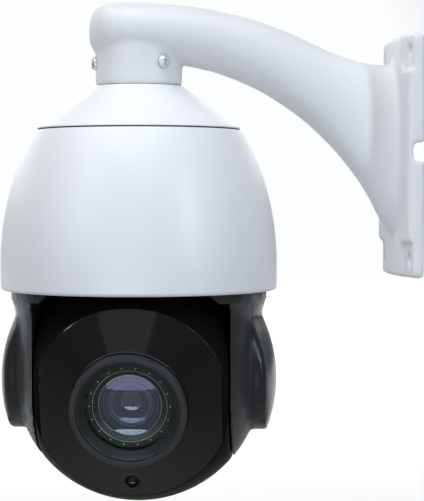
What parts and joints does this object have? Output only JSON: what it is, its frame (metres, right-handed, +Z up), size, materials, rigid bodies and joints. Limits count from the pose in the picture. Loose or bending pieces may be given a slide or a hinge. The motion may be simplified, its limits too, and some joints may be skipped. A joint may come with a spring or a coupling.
{
  "type": "ptz camera",
  "caption": "Outdoor pan-tilt-zoom dome camera: white bell housing on a curved cast wall bracket, black yoke and tilting ball head with a round lens hood.",
  "frame": {"origin": "centre of the four-hole wall bolt pattern, on the wall side of the bracket plate", "axes": "+X into the wall, +Z up, -Y the way the camera looks with the bracket arm to its right; the pan axis is vertical at X = -0.160"},
  "size_m": [0.24, 0.16, 0.2881],
  "materials": {
    "white_coat": "fine textured off-white powder coat",
    "white_shell": "smooth white enamel with a fine grain",
    "black_shell": "satin dark grey-black moulding",
    "gloss_black": "polished black infra-red-passing plastic",
    "hood_black": "matt black turned finish",
    "screw_steel": "bright zinc plated",
    "bearing_steel": "ground bearing steel",
    "turned_alloy": "machined, clear anodised",
    "motor_case": "black lacquered laminations",
    "brass_part": "turned brass",
    "black_rubber": "moulded black rubber",
    "green_board": "green solder mask on glass-epoxy board",
    "black_parts": "moulded black connector bodies",
    "clear_lens": "coated optical glass"
  },
  "bodies": {
    "housing": {"wall_bracket": "white_coat", "collar_screws": "screw_steel", "neck_tube": "turned_alloy", "cable_grommet": "black_rubber", "top_cap": "white_shell", "cap_seal": "black_rubber", "bell_housing": "white_shell", "cap_screws": "screw_steel", "chassis_plate": "turned_alloy", "chassis_screws": "screw_steel", "main_board": "green_board", "board_standoffs": "brass_part", "board_connectors": "black_parts", "pan_post": "turned_alloy", "pan_pulley": "turned_alloy", "pan_bearing_inner": "bearing_steel", "retaining_clip": "screw_steel", "slip_ring_stator": "black_parts"},
    "pan": {"yoke_frame": "black_shell", "left_arm_cover": "black_shell", "right_arm_cover": "black_shell", "cover_screws": "screw_steel", "pan_deck": "turned_alloy", "deck_screws": "screw_steel", "bearing_outer_rings": "bearing_steel", "bearing_balls": "bearing_steel", "bearing_spacer": "turned_alloy", "slip_ring_rotor": "brass_part", "pan_motor": "motor_case", "pan_belt": "black_rubber", "tilt_motor": "motor_case", "tilt_motor_bracket": "turned_alloy", "tilt_belt": "black_rubber", "driver_board": "green_board"},
    "pan_drive": {"pan_pinion": "brass_part"},
    "tilt_drive": {"tilt_pinion": "brass_part"},
    "head": {"head_shell_front": "black_shell", "head_shell_rear": "black_shell", "head_screws": "screw_steel", "tilt_axles": "turned_alloy", "axle_screws": "screw_steel", "tilt_bearing_inner": "bearing_steel", "tilt_pulley": "turned_alloy", "ir_window": "gloss_black", "lens_hood": "hood_black", "lens_window": "clear_lens", "front_carrier": "turned_alloy", "carrier_screws": "screw_steel", "ir_led_board": "green_board", "ir_lamps": "clear_lens", "light_sensor": "gloss_black", "zoom_block": "hood_black", "lens_barrel": "hood_black", "retaining_ring": "hood_black", "front_lens": "clear_lens", "guide_rods": "screw_steel", "sensor_board": "green_board"},
    "zoom": {"zoom_group": "clear_lens"},
    "focus": {"focus_group": "clear_lens"}
  },
  "joints": [
    {"name": "pan", "type": "hinge", "parent": "housing", "child": "pan", "pos_m": [-0.16, 0, -0.077], "axis": [0, 0, 1], "continuous": true},
    {"name": "tilt", "type": "hinge", "parent": "pan", "child": "head", "pos_m": [-0.16, 0, -0.128], "axis": [0.9833, -0.1822, 0], "range_deg": [-18, 77]},
    {"name": "pan_drive_spin", "type": "hinge", "parent": "pan", "child": "pan_drive", "pos_m": [-0.2013, 0.00765, -0.017], "axis": [0, 0, 1], "continuous": true},
    {"name": "tilt_drive_spin", "type": "hinge", "parent": "pan", "child": "tilt_drive", "pos_m": [-0.09609, -0.01184, -0.039], "axis": [0.9833, -0.1822, 0], "range_deg": [-49, 206]},
    {"name": "zoom_slide", "type": "slide", "parent": "head", "child": "zoom", "axis": [-0.1776, -0.9581, -0.225], "range_m": [-0.012, 0.012]},
    {"name": "focus_slide", "type": "slide", "parent": "head", "child": "focus", "axis": [-0.1776, -0.9581, -0.225], "range_m": [-0.008, 0.002]}
  ],
  "couplings": [
    {"joint": "pan_drive_spin", "follows": "pan", "ratio": -2.5714},
    {"joint": "tilt_drive_spin", "follows": "tilt", "ratio": 2.6667}
  ]
}
